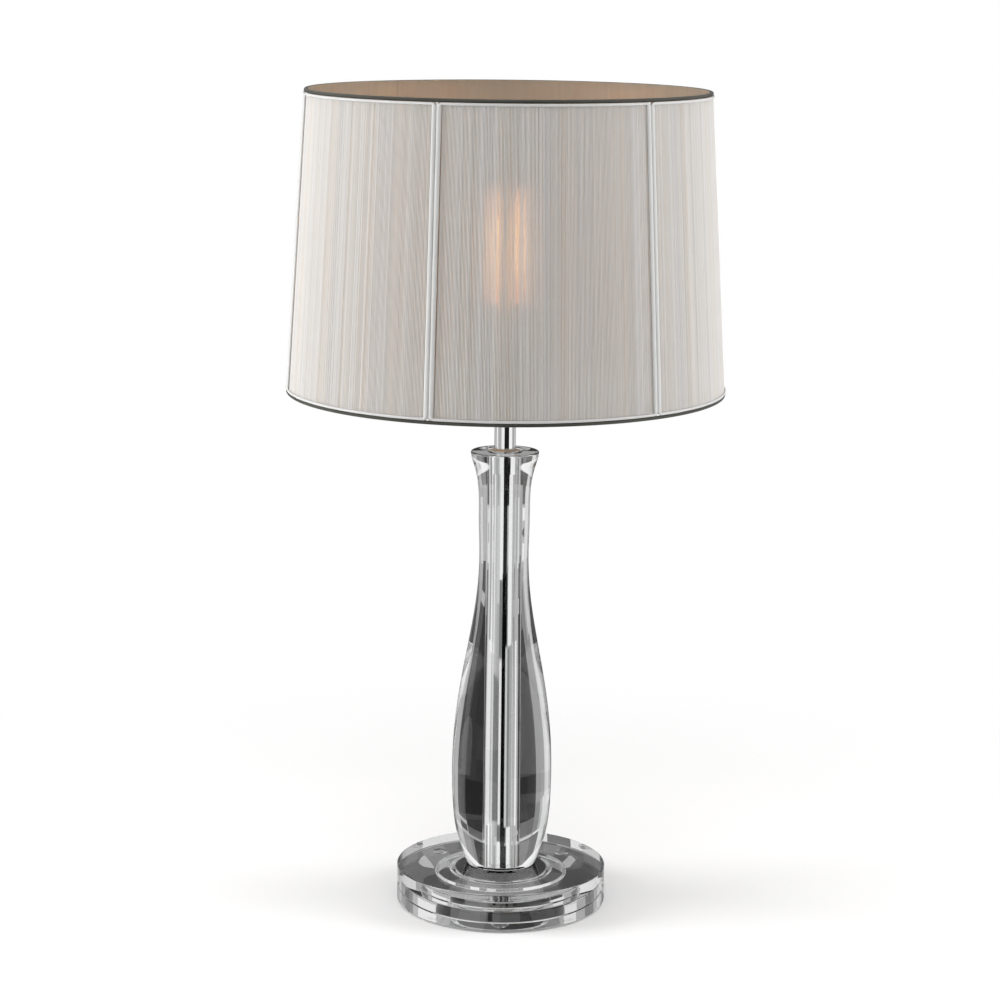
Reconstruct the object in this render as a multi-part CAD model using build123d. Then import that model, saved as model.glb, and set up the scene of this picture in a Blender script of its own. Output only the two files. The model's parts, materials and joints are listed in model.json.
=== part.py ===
from build123d import *
import os
from math import atan2, cos, degrees, radians, sin

# A table lamp: a turned crystal column on a crystal disc, pulled together by a hollow tie rod,
# with a screw lampholder, a twin-tube bulb and a round shade of stretched thread on a wire frame.
# Millimetres. The origin is on the table under the middle of the base, +Z is up, the front is -Y.

# ---- Base ----
base_diameter = 160.0
base_thickness = 28.5
base_edge_bevel = 1.0
recess_diameter = 100.0
recess_depth = 9.0
plate_seat_diameter = 78.0
plate_seat_depth = 14.5
recess_edge_bevel = 0.8
foot_diameter = 10.0
foot_height = 1.5
foot_circle_diameter = 136.0
foot_count = 4
cord_bore_diameter = 8.0
cord_bore_height = 9.0
cord_bush_bore = 5.6
cord_bush_length = 12.0
cord_bush_flange_diameter = 11.0
cord_bush_flange_thickness = 1.5

# ---- Tie rod and what it clamps under the base ----
rod_diameter = 10.0
rod_bore = 7.4
rod_tail = 2.5
nut_across_flats = 17.0
nut_height = 5.0
lock_washer_diameter = 18.0
lock_washer_thickness = 1.2
plate_diameter = 70.0
plate_thickness = 2.0
plate_gasket_thickness = 0.8

# ---- Crystal column ----
body_height = 322.5
body_bore = 18.0
body_foot_radius = 26.3
body_foot_flare = 0.42
body_lip_radius = 25.9
body_lip_flare = 0.25
body_lip_height = 2.2
body_edge_round = 0.8
body_outline = [            # radius, height above the column's foot
    (33.9, 22.5),           # the swell above the foot
    (37.8, 56.0),           # the belly, rising
    (37.3, 99.0),           # the belly, drawing in
    (33.4, 135.0),          # the shoulder
    (26.4, 174.5),          # half way in
    (20.3, 213.0),          # the neck
    (18.7, 240.0),          # the waist
    (19.3, 270.0),          # above the waist
    (22.0, 307.0),          # the flare below the lip
]
seat_gasket_thickness = 0.5
seat_gasket_diameter = 48.0
sleeve_diameter = 16.0
sleeve_wall = 1.0
sleeve_bush_height = 5.0
top_gasket_thickness = 0.4
ferrule_diameter = 26.4
ferrule_flange = 1.6
ferrule_edge_round = 0.5
ferrule_spigot_length = 15.0
neck_length = 17.0          # bare sleeve between the ferrule and the lampholder

# ---- Lampholder ----
holder_cap_height = 22.0
holder_cap_foot_radius = 11.5
holder_cap_radius = 17.5
holder_cap_shoulder = 5.0
holder_cap_wall = 1.8
holder_cap_floor = 2.5
holder_boss_radius = 8.0
holder_boss_height = 9.0
rod_engagement = 8.0        # how far the rod screws into the cap
contact_block_radius = 15.2
contact_block_height = 12.0
terminal_pocket_width = 9.0
terminal_pocket_depth = 5.0
terminal_pocket_height = 7.0
terminal_screw_diameter = 4.0
terminal_screw_length = 4.5
contact_strip_width = 6.0
contact_strip_thickness = 0.5
contact_strip_length = 16.0
contact_strip_crown = 9.0   # length of the strip's raised middle
shell_inner_radius = 13.5
shell_wall = 0.4
shell_height = 26.0
shell_flange_bore_radius = 10.0
holder_body_height = 36.0
holder_body_bore_radius = 14.8
holder_mouth_radius = 14.2
holder_mouth_lip = 1.5
holder_thread_radius = 19.6
holder_flange_radius = 22.0
holder_flange_thickness = 2.0
holder_flange_height = 6.0  # underside of the flange above the holder body's foot

# ---- Clamp ring that holds the shade down ----
clamp_ring_radius = 23.0
clamp_ring_height = 8.0
clamp_ring_grips = 18
clamp_grip_radius = 1.6

# ---- Bulb ----
bulb_cap_radius = 13.1
bulb_cap_height = 22.5
bulb_contact_radius = 4.6
bulb_contact_height = 1.0
bulb_insulator_height = 4.0
bulb_insulator_top_radius = 12.0
bulb_insulator_foot_radius = 6.0
bulb_collar_radius = 15.5
bulb_collar_height = 9.0
bulb_housing_radius = 19.0
bulb_housing_height = 35.5
bulb_housing_bevel = 1.2
bulb_tube_diameter = 9.5
bulb_tube_offset = 10.5     # each tube's plane from the axis, sideways
bulb_leg_offset = 7.4       # each leg from the axis, front to back; also the bend's radius
bulb_leg_length = 72.0

# ---- Shade ----
shade_bottom_diameter = 328.0
shade_top_diameter = 300.0
shade_height = 224.0
shade_drop = 4.2            # how far the shade's lower edge hangs below the spider's washer
ring_wire = 2.6
panel_count = 6
first_rib_angle = 10.9      # anticlockwise from +X, seen from above
tape_thickness = 0.4
thread_thickness = 0.8
strut_wire = 2.4
liner_thickness = 0.6
liner_foot_lift = 3.2       # the liner starts above the spider's arms
liner_top_drop = 0.3
border_height = 3.4
rib_width = 8.2
rib_crown = 0.85            # how far the two rolls of the rib tape stand out of the cone
rib_groove = 0.2
spider_washer_radius = 27.0
spider_washer_thickness = 1.5
spider_bore_radius = 20.3
spider_wire = 2.4
spider_arm_count = 3

# ---- Clearances ----
thread_clearance = 0.05     # between a screwed pair's plain faces
rod_clearance = 0.3
bush_clearance = 0.1
seat_gap = 0.2              # between pieces of different bodies that rest on each other
clamp_thread_clearance = 0.3
weld_gap = 0.1              # between wires that are soldered, and tapes that are glued

# ---- Levels, from the table up ----
base_underside = foot_height
base_top = base_underside + base_thickness
recess_ceiling = base_underside + recess_depth
plate_seat = base_underside + plate_seat_depth
plate_top = plate_seat - plate_gasket_thickness
plate_foot = plate_top - plate_thickness
lock_washer_foot = plate_foot - lock_washer_thickness
nut_foot = lock_washer_foot - nut_height
rod_foot = nut_foot - rod_tail
body_foot = base_top + seat_gasket_thickness
body_top = body_foot + body_height
ferrule_foot = body_top + top_gasket_thickness
ferrule_top = ferrule_foot + ferrule_flange
holder_foot = ferrule_top + neck_length
rod_top = holder_foot + holder_cap_floor + rod_engagement
contact_block_foot = holder_foot + holder_cap_floor + holder_boss_height
contact_block_top = contact_block_foot + contact_block_height
holder_body_foot = holder_foot + holder_cap_height
holder_body_top = holder_body_foot + holder_body_height
flange_foot = holder_body_foot + holder_flange_height
flange_top = flange_foot + holder_flange_thickness
spider_foot = flange_top + seat_gap
spider_top = spider_foot + spider_washer_thickness
clamp_foot = spider_top + seat_gap
bulb_housing_foot = holder_body_top + seat_gap
bulb_housing_top = bulb_housing_foot + bulb_housing_height
bulb_cap_foot = bulb_housing_foot - bulb_cap_height
bulb_insulator_foot = bulb_cap_foot - bulb_insulator_height
bulb_contact_foot = bulb_insulator_foot - bulb_contact_height
strip_top = bulb_contact_foot - seat_gap
shade_foot = spider_foot - shade_drop
shade_top = shade_foot + shade_height
skin_foot = shade_foot + ring_wire + weld_gap
skin_top = shade_top - ring_wire - weld_gap

# ---- Layers of the shade, as distances in from its outer cone ----
thread_inset = tape_thickness + weld_gap
strut_inset = thread_inset + strut_wire / 2
liner_inset = strut_inset + strut_wire / 2 + weld_gap
shade_slope = (shade_bottom_diameter - shade_top_diameter) / 2 / shade_height


def shade_radius(z):
    """Radius of the shade's outer cone at a height."""
    return shade_bottom_diameter / 2 - shade_slope * (z - shade_foot)


def disc(radius, low, high):
    return Pos(0, 0, low) * Cylinder(radius, high - low, align=(Align.CENTER, Align.CENTER, Align.MIN))


def collar(outer_radius, inner_radius, low, high):
    return disc(outer_radius, low, high) - disc(inner_radius, low, high)


def turned(points):
    """A solid turned about +Z from a closed outline of (radius, height) points."""
    outline = Polyline(*[(r, 0, z) for r, z in points], close=True)
    return revolve(make_face(outline), Axis.Z)


def rib_angles():
    return [first_rib_angle + 360 / panel_count * index for index in range(panel_count)]


def cone_skin(inset, thickness, low, high):
    """A thin conical wall, its outer face this far inside the shade's cone."""
    outer_low = shade_radius(low) - inset
    outer_high = shade_radius(high) - inset
    return turned([(outer_low, low), (outer_high, high),
                   (outer_high - thickness, high), (outer_low - thickness, low)])


def slant_plane(angle, inset, low):
    """A plane across the shade's wall: x runs round it, y points out and z climbs the slant."""
    out = Vector(cos(radians(angle)), sin(radians(angle)), 0)
    climb = (Vector(0, 0, 1) - out * shade_slope).normalized()
    around = out.cross(Vector(0, 0, 1))
    return Plane(origin=out * (shade_radius(low) - inset) + Vector(0, 0, low), x_dir=around, z_dir=climb)


def slant_length(low, high):
    return (high - low) * (1 + shade_slope ** 2) ** 0.5


def rib_corridors(width):
    """Upright walls, one at each rib, that part the skins between the panels."""
    depth = shade_bottom_diameter / 2
    wall = Box(depth, width, shade_height, align=(Align.MIN, Align.CENTER, Align.MIN))
    return [Rot(0, 0, angle) * Pos(depth / 2, 0, shade_foot) * wall for angle in rib_angles()]


def by_angle(solids):
    """Solids in order round the axis, from the first rib on."""
    def turn(solid):
        middle = solid.center()
        return (degrees(atan2(middle.Y, middle.X)) - first_rib_angle) % 360
    return sorted(solids, key=turn)


# ---- Base ----

def base_disc():
    glass = disc(base_diameter / 2, base_underside, base_top)
    glass = chamfer(glass.edges().filter_by(GeomType.CIRCLE), base_edge_bevel)
    glass -= disc(recess_diameter / 2, base_underside, recess_ceiling)
    glass -= disc(plate_seat_diameter / 2, base_underside, plate_seat)
    mouths = [edge for edge in glass.edges().filter_by(GeomType.CIRCLE)
              if abs(edge.radius - recess_diameter / 2) < base_edge_bevel and edge.center().Z < recess_ceiling
              or abs(edge.radius - plate_seat_diameter / 2) < base_edge_bevel and edge.center().Z < plate_seat]
    glass = chamfer(mouths, recess_edge_bevel)
    glass -= disc(rod_diameter / 2 + rod_clearance, base_underside, base_top)
    return glass - Pos(0, 0, cord_bore_height) * Rot(-90, 0, 0) * Cylinder(
        cord_bore_diameter / 2, base_diameter / 2, align=(Align.CENTER, Align.CENTER, Align.MIN))


def base_feet():
    foot = disc(foot_diameter / 2, 0, foot_height)
    return [place * foot for place in PolarLocations(foot_circle_diameter / 2, foot_count, 180 / foot_count)]


def cord_bush():
    """A flanged plastic bush in the cord's hole at the back; its cord is not part of the lamp."""
    inside = base_diameter / 2 - cord_bush_length
    rim = base_diameter / 2 + cord_bush_flange_thickness
    barrel_radius = cord_bore_diameter / 2 - bush_clearance
    bush = disc(barrel_radius, inside, rim) + disc(cord_bush_flange_diameter / 2, base_diameter / 2, rim)
    bush -= disc(cord_bush_bore / 2, inside, rim)
    return Pos(0, 0, cord_bore_height) * Rot(-90, 0, 0) * bush


# ---- Tie rod and fasteners ----

def base_nut():
    hexagon = RegularPolygon(nut_across_flats / 2, 6, major_radius=False)
    nut = Pos(0, 0, nut_foot) * extrude(hexagon, nut_height)
    return nut - disc(rod_diameter / 2 + thread_clearance, nut_foot, lock_washer_foot)


# ---- Crystal column ----

def crystal_body():
    points = [(body_foot_radius, 0, body_foot)]
    points += [(radius, 0, body_foot + height) for radius, height in body_outline]
    points += [(body_lip_radius, 0, body_top - body_lip_height)]
    side = Spline(*points, tangents=[(body_foot_flare, 0, 1), (body_lip_flare, 0, 1)])
    rim = Polyline(side @ 1, (body_lip_radius, 0, body_top), (body_bore / 2, 0, body_top),
                   (body_bore / 2, 0, body_foot), side @ 0)
    glass = revolve(make_face(side + rim), Axis.Z)
    rims = [edge for edge in glass.edges().filter_by(GeomType.CIRCLE)
            if abs(edge.center().Z - body_top) < weld_gap or abs(edge.center().Z - body_foot) < weld_gap]
    return fillet([edge for edge in rims if edge.radius > body_bore], body_edge_round)


def top_ferrule():
    bore_radius = sleeve_diameter / 2 + bush_clearance
    flange = collar(ferrule_diameter / 2, bore_radius, ferrule_foot, ferrule_top)
    flange = fillet(flange.edges().filter_by(GeomType.CIRCLE).group_by(Axis.Z)[-1].sort_by(SortBy.RADIUS)[-1],
                    ferrule_edge_round)
    spigot = collar(body_bore / 2 - bush_clearance, bore_radius, body_top - ferrule_spigot_length, ferrule_foot)
    return flange + spigot


# ---- Lampholder ----

def holder_cap():
    floor_top = holder_foot + holder_cap_floor
    cup = turned([
        (0, holder_foot), (holder_cap_foot_radius, holder_foot),
        (holder_cap_radius, holder_foot + holder_cap_shoulder), (holder_cap_radius, holder_body_foot),
        (holder_cap_radius - holder_cap_wall, holder_body_foot),
        (holder_cap_radius - holder_cap_wall, floor_top + holder_cap_shoulder),
        (holder_cap_foot_radius, floor_top), (0, floor_top)])
    cup += disc(holder_boss_radius, holder_foot, contact_block_foot)
    return cup - disc(rod_diameter / 2 + thread_clearance, holder_foot, contact_block_foot)


def terminal_places():
    """Left and right terminal pockets in the contact block's side."""
    reach = contact_block_radius - terminal_pocket_depth
    return [Pos(reach, 0, contact_block_foot), Rot(0, 0, 180) * Pos(reach, 0, contact_block_foot)]


def contact_block():
    block = disc(contact_block_radius, contact_block_foot, contact_block_top)
    block -= disc(rod_diameter / 2, contact_block_foot, contact_block_foot + terminal_pocket_height)
    pocket = Box(terminal_pocket_depth, terminal_pocket_width, terminal_pocket_height,
                 align=(Align.MIN, Align.CENTER, Align.MIN))
    for place in terminal_places():
        block -= place * pocket
    return block


def terminal_screws():
    screw = Cylinder(terminal_screw_diameter / 2, terminal_screw_length,
                     align=(Align.CENTER, Align.CENTER, Align.MIN))
    slot = Box(terminal_screw_diameter, contact_strip_thickness, contact_strip_thickness * 2)
    screw -= Pos(0, 0, terminal_screw_length) * slot
    middle = Pos(0, 0, terminal_pocket_height / 2)
    return [place * middle * Rot(0, 90, 0) * screw for place in terminal_places()]


def centre_contact():
    """A springy strip, bowed up from the contact block to meet the bulb's tip."""
    half_foot = contact_strip_length / 2
    half_crown = contact_strip_crown / 2
    outline = [(-half_foot, contact_block_top), (-half_crown, contact_block_top),
               (-half_crown / 2, strip_top - contact_strip_thickness),
               (half_crown / 2, strip_top - contact_strip_thickness),
               (half_crown, contact_block_top), (half_foot, contact_block_top)]
    over = [(x, z + contact_strip_thickness) for x, z in reversed(outline)]
    face = make_face(Polyline(*[(x, 0, z) for x, z in outline + over], close=True))
    return extrude(face, contact_strip_width / 2, dir=(0, 1, 0), both=True)


def screw_shell():
    shell_radius = shell_inner_radius + shell_wall
    wall = collar(shell_radius, shell_inner_radius, contact_block_top, contact_block_top + shell_height)
    return wall + collar(shell_radius, shell_flange_bore_radius, contact_block_top, contact_block_top + shell_wall)


def holder_body():
    barrel = disc(holder_thread_radius, holder_body_foot, holder_body_top)
    barrel += disc(holder_flange_radius, flange_foot, flange_top)
    barrel -= disc(contact_block_radius + bush_clearance, holder_body_foot, contact_block_top)
    barrel -= disc(holder_body_bore_radius, contact_block_top, holder_body_top - holder_mouth_lip)
    return barrel - disc(holder_mouth_radius, contact_block_top, holder_body_top)


def shade_clamp_ring():
    bore = holder_thread_radius + clamp_thread_clearance
    ring = collar(clamp_ring_radius, bore, clamp_foot, clamp_foot + clamp_ring_height)
    grip = disc(clamp_grip_radius, clamp_foot, clamp_foot + clamp_ring_height)
    grip_circle = clamp_ring_radius + clamp_grip_radius / 2
    for place in PolarLocations(grip_circle, clamp_ring_grips):
        ring -= place * grip
    return ring


# ---- Bulb ----

def bulb_insulator():
    return turned([(0, bulb_insulator_foot), (bulb_insulator_foot_radius, bulb_insulator_foot),
                   (bulb_insulator_top_radius, bulb_cap_foot), (0, bulb_cap_foot)])


def bulb_housing():
    collar_top = bulb_housing_foot + bulb_collar_height
    bevel_foot = bulb_housing_top - bulb_housing_bevel
    return turned([(0, bulb_housing_foot), (bulb_collar_radius, bulb_housing_foot),
                   (bulb_housing_radius, collar_top), (bulb_housing_radius, bevel_foot),
                   (bulb_housing_radius - bulb_housing_bevel, bulb_housing_top), (0, bulb_housing_top)])


def bulb_tube(side):
    """One U of glass tube, its two legs front and back, on the left (-1) or right (1)."""
    x = side * bulb_tube_offset
    bend = bulb_housing_top + bulb_leg_length
    start = (x, -bulb_leg_offset, bulb_housing_top)
    path = (Line(start, (x, -bulb_leg_offset, bend))
            + ThreePointArc((x, -bulb_leg_offset, bend), (x, 0, bend + bulb_leg_offset), (x, bulb_leg_offset, bend))
            + Line((x, bulb_leg_offset, bend), (x, bulb_leg_offset, bulb_housing_top)))
    return sweep(Pos(*start) * Circle(bulb_tube_diameter / 2), path)


# ---- Shade ----

def hoop(z, wire, radius):
    return Pos(0, 0, z) * Torus(radius, wire / 2)


def shade_top_ring():
    return hoop(shade_top - ring_wire / 2, ring_wire, (shade_top_diameter - ring_wire) / 2)


def shade_bottom_ring():
    return hoop(shade_foot + ring_wire / 2, ring_wire, (shade_bottom_diameter - ring_wire) / 2)


def shade_struts():
    length = slant_length(skin_foot, skin_top)
    return [extrude(slant_plane(angle, strut_inset, skin_foot) * Circle(strut_wire / 2), length)
            for angle in rib_angles()]


def spider_arms():
    """Straight wires from the edge of the spider's washer out to the bottom ring."""
    start = Vector(spider_washer_radius + weld_gap, 0, (spider_foot + spider_top) / 2)
    end = Vector(shade_bottom_diameter / 2 - ring_wire - weld_gap, 0, shade_foot + ring_wire / 2)
    along = end - start
    arm = extrude(Plane(origin=start, z_dir=along) * Circle(spider_wire / 2), along.length)
    return [Rot(0, 0, first_rib_angle + 360 / spider_arm_count * index) * arm
            for index in range(spider_arm_count)]


def shade_liner():
    return cone_skin(liner_inset, liner_thickness, shade_foot + liner_foot_lift, shade_top - liner_top_drop)


def thread_panels():
    skin = cone_skin(thread_inset, thread_thickness, skin_foot, skin_top)
    return by_angle((skin - rib_corridors(strut_wire + 2 * weld_gap)).solids())


def border(low):
    """The tape that edges the panels, in one length between each pair of ribs."""
    band = cone_skin(0, tape_thickness, low, low + border_height)
    return by_angle((band - rib_corridors(rib_width + 2 * weld_gap)).solids())


def rib_trim(angle):
    """A double roll of tape over a strut, with a groove down its middle."""
    half = rib_width / 2
    inner = -tape_thickness
    section = ThreePointArc((0, rib_groove), (half / 2, rib_crown), (half, 0))
    section += Polyline((half, 0), (half, inner), (-half, inner), (-half, 0))
    section += ThreePointArc((-half, 0), (-half / 2, rib_crown), (0, rib_groove))
    return extrude(slant_plane(angle, 0, skin_foot) * make_face(section), slant_length(skin_foot, skin_top))


def sub_parts():
    sleeve_radius = sleeve_diameter / 2
    parts = {
        "base_disc": base_disc(),
        "base_feet": base_feet(),
        "cord_bush": cord_bush(),
        "base_gasket": collar(plate_diameter / 2, rod_diameter / 2 + rod_clearance, plate_top, plate_seat),
        "base_plate": collar(plate_diameter / 2, rod_diameter / 2 + rod_clearance, plate_foot, plate_top),
        "lock_washer": collar(lock_washer_diameter / 2, rod_diameter / 2 + rod_clearance,
                              lock_washer_foot, plate_foot),
        "base_nut": base_nut(),
        "tie_rod": collar(rod_diameter / 2, rod_bore / 2, rod_foot, rod_top),
        "seat_gasket": collar(seat_gasket_diameter / 2, body_bore / 2, base_top, body_foot),
        "crystal_body": crystal_body(),
        "chrome_sleeve": collar(sleeve_radius, sleeve_radius - sleeve_wall, base_top, holder_foot),
        "sleeve_bush": collar(body_bore / 2 - bush_clearance, sleeve_radius + bush_clearance,
                              base_top, base_top + sleeve_bush_height),
        "top_gasket": collar(ferrule_diameter / 2, body_bore / 2, body_top, ferrule_foot),
        "top_ferrule": top_ferrule(),
        "holder_cap": holder_cap(),
        "contact_block": contact_block(),
        "terminal_screws": terminal_screws(),
        "centre_contact": centre_contact(),
        "screw_shell": screw_shell(),
        "holder_body": holder_body(),
        "shade_clamp_ring": shade_clamp_ring(),
        "bulb_contact": disc(bulb_contact_radius, bulb_contact_foot, bulb_insulator_foot),
        "bulb_insulator": bulb_insulator(),
        "bulb_cap": disc(bulb_cap_radius, bulb_cap_foot, bulb_housing_foot),
        "bulb_housing": bulb_housing(),
        "bulb_tube_left": bulb_tube(-1),
        "bulb_tube_right": bulb_tube(1),
        "shade_top_ring": shade_top_ring(),
        "shade_bottom_ring": shade_bottom_ring(),
        "shade_struts": shade_struts(),
        "spider_washer": collar(spider_washer_radius, spider_bore_radius, spider_foot, spider_top),
        "spider_arms": spider_arms(),
        "shade_liner": shade_liner(),
        "top_border": border(skin_top - border_height),
        "bottom_border": border(skin_foot),
    }
    for index, panel in enumerate(thread_panels()):
        parts[f"thread_panel_{index + 1}"] = panel
    for index, angle in enumerate(rib_angles()):
        parts[f"rib_trim_{index + 1}"] = rib_trim(angle)
    return parts


os.makedirs("parts", exist_ok=True)
for name, shape in sub_parts().items():
    export_step(Compound(list(shape)) if isinstance(shape, list) else shape, f"parts/{name}.step")
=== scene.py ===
import json
import random
from math import atan2, cos, pi, radians, sin, sqrt, tau

import bmesh
import bpy
import numpy as np
from mathutils import Matrix, Vector


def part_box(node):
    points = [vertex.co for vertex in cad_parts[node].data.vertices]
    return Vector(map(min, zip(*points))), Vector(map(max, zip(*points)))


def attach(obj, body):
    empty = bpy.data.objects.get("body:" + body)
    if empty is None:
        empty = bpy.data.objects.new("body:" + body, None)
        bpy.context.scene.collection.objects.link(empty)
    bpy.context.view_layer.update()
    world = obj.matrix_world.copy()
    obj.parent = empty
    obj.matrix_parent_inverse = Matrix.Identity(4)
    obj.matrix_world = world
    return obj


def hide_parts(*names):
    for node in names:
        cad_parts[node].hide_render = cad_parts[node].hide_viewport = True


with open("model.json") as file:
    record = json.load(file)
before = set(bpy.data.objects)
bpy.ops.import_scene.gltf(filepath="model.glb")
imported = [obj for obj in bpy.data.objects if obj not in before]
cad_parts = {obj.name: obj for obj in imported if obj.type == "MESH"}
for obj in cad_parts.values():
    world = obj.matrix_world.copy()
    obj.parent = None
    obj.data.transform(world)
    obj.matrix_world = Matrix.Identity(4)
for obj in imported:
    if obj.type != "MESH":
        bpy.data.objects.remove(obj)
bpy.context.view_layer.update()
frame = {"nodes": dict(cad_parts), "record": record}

# The table lamp's looks: glass, metal, bulb and the shade of stretched thread. Metres, +Z up, the
# front is -Y, and the lamp's axis is the Z axis.

MM = 0.001
SAME_PLACE = 0.01 * MM              # points closer than this are taken as one
chance = random.Random(12)
nodes = frame["nodes"]


# ---- Sizes taken from the frame ----

def low(node):
    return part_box(node)[0].z


def high(node):
    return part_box(node)[1].z


def radius_of(node):
    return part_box(node)[1].x


shade_foot = low("shade_bottom_ring")
shade_top = high("shade_top_ring")
shade_foot_radius = radius_of("shade_bottom_ring")
shade_top_radius = radius_of("shade_top_ring")
shade_slope = (shade_foot_radius - shade_top_radius) / (shade_top - shade_foot)
tape_foot = low("bottom_border")
tape_top = high("top_border")
first_rib_angle = radians(10.9)     # from +X towards +Y
panel_count = 6
panel_turn = tau / panel_count
rib_width = 7.2 * MM                # two rolls of tape, side by side


def shade_radius(z):
    """Radius of the shade's outer cone at a height."""
    return shade_foot_radius - shade_slope * (z - shade_foot)


# ---- Modelling by hand, in code ----

def only(piece):
    """Selects this piece and nothing else."""
    bpy.ops.object.select_all(action="DESELECT")
    piece.select_set(True)
    bpy.context.view_layer.objects.active = piece
    return piece


def begin(name):
    """Names the primitive that was just added and opens it for modelling."""
    piece = bpy.context.active_object
    piece.name = name
    piece.data.name = name
    bpy.ops.object.transform_apply(location=True, rotation=True, scale=True)
    bpy.ops.object.mode_set(mode="EDIT")
    return piece


def clear_selection():
    bpy.ops.object.select_all(action="DESELECT")


def pick(test, kind="VERT"):
    """In edit mode, selects the vertices, edges or faces that pass the test, and nothing else."""
    bpy.ops.mesh.select_mode(type=kind)
    mesh = bmesh.from_edit_mesh(bpy.context.edit_object.data)
    for group in (mesh.verts, mesh.edges, mesh.faces):
        for element in group:
            element.select = False
    chosen = {"VERT": mesh.verts, "EDGE": mesh.edges, "FACE": mesh.faces}[kind]
    for element in chosen:
        if test(element):
            element.select_set(True)
    mesh.select_flush_mode()
    bmesh.update_edit_mesh(bpy.context.edit_object.data)


def finish_mesh(piece, smooth_angle=35, flats=False):
    """Merges doubles, turns the faces outwards, leaves edit mode and smooths the shading.

    With flats, large flat faces keep their own normal, and only the small bevels between them bend it."""
    if piece.mode != "EDIT":
        only(piece)
        bpy.ops.object.mode_set(mode="EDIT")
    bpy.ops.mesh.select_mode(type="VERT")
    bpy.ops.mesh.select_all(action="SELECT")
    bpy.ops.mesh.remove_doubles(threshold=1e-7)
    bpy.ops.mesh.normals_make_consistent(inside=False)
    bpy.ops.object.mode_set(mode="OBJECT")
    only(piece)
    bpy.ops.object.shade_smooth_by_angle(angle=radians(smooth_angle))
    if flats:
        apply_modifier(piece, "WEIGHTED_NORMAL", keep_sharp=True)
    return piece


def turned(name, outline, sides=128):
    """Turns an outline of (radius, height) points about the axis, as on a lathe.

    An outline with both ends on the axis makes a solid, and any other is closed into a ring."""
    solid = outline[0][0] == 0
    loops = outline[1:-1] if solid else outline
    clear_selection()
    bpy.ops.mesh.primitive_circle_add(vertices=sides, radius=loops[0][0], location=(0, 0, loops[0][1]))
    piece = begin(name)
    bpy.ops.mesh.select_all(action="SELECT")
    if solid:
        bpy.ops.mesh.edge_face_add()
        pick(lambda edge: True, "EDGE")
    for (r, z), (next_r, next_z) in zip(loops, loops[1:]):
        bpy.ops.mesh.extrude_edges_move(TRANSFORM_OT_translate={"value": (0, 0, next_z - z)})
        bpy.ops.transform.resize(value=(next_r / r, next_r / r, 1))
    if solid:
        bpy.ops.mesh.edge_face_add()
    else:
        bpy.ops.mesh.select_mode(type="EDGE")
        bpy.ops.mesh.select_all(action="DESELECT")
        bpy.ops.mesh.select_non_manifold()
        bpy.ops.mesh.bridge_edge_loops()
    return piece


def bevel_rings(rings, width, segments=4):
    """Rounds the sharp rings of a turned piece, given as (radius, height) points."""
    def at(vert, ring):
        r, z = ring
        return abs(vert.co.xy.length - r) < SAME_PLACE and abs(vert.co.z - z) < SAME_PLACE

    def on_ring(edge):
        return any(all(at(vert, ring) for vert in edge.verts) for ring in rings)

    pick(on_ring, "EDGE")
    bpy.ops.mesh.bevel(offset=width, segments=segments, affect="EDGES")


def smooth_curve(points, start_slope, end_slope, steps):
    """Points along the smooth curve through (radius, height) points, with its slope dr/dz at both ends."""
    r, z = np.array(points, float).T
    h = np.diff(z)
    n = len(z)
    matrix = np.eye(n)
    slopes = np.zeros(n)
    slopes[0], slopes[-1] = start_slope, end_slope
    for i in range(1, n - 1):
        matrix[i, i - 1:i + 2] = h[i], 2 * (h[i - 1] + h[i]), h[i - 1]
        slopes[i] = 3 * (h[i] * (r[i] - r[i - 1]) / h[i - 1] + h[i - 1] * (r[i + 1] - r[i]) / h[i])
    slopes = np.linalg.solve(matrix, slopes)
    curve = []
    for level in np.linspace(z[0], z[-1], steps + 1):
        i = min(int(np.searchsorted(z, level, side="right")) - 1, n - 2)
        t = (level - z[i]) / h[i]
        rise = (1 - t) ** 2 * t * h[i] * slopes[i] - (1 - t) * t ** 2 * h[i] * slopes[i + 1]
        curve.append((r[i] * (1 - t) ** 2 * (1 + 2 * t) + r[i + 1] * t ** 2 * (3 - 2 * t) + rise, level))
    return [(float(a), float(b)) for a, b in curve]


def apply_modifier(piece, kind, **settings):
    """Adds a modifier to a piece and applies it."""
    only(piece)
    modifier = piece.modifiers.new(kind.title(), kind)
    for name, value in settings.items():
        setattr(modifier, name, value)
    bpy.ops.object.modifier_apply(modifier=modifier.name)


def coordinates(piece):
    co = np.empty(len(piece.data.vertices) * 3)
    piece.data.vertices.foreach_get("co", co)
    return co.reshape(-1, 3)


def move_vertices(piece, co):
    piece.data.vertices.foreach_set("co", np.ascontiguousarray(co, dtype=float).ravel())
    piece.data.update()


def about_axis(co, turn):
    """Points turned about the lamp's axis."""
    c, s = np.cos(turn), np.sin(turn)
    return np.column_stack([co[:, 0] * c - co[:, 1] * s, co[:, 0] * s + co[:, 1] * c, co[:, 2]])


def fit(piece, body, slot, finish, *replaced):
    """Gives a finished piece its body, its material and the nodes that it stands for. The slot is not
    used.
    """
    piece.data.materials.clear()
    piece.data.materials.append(finish)
    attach(piece, body)
    if replaced:
        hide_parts(*replaced)
    return piece


# ---- Shader maths ----

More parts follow.
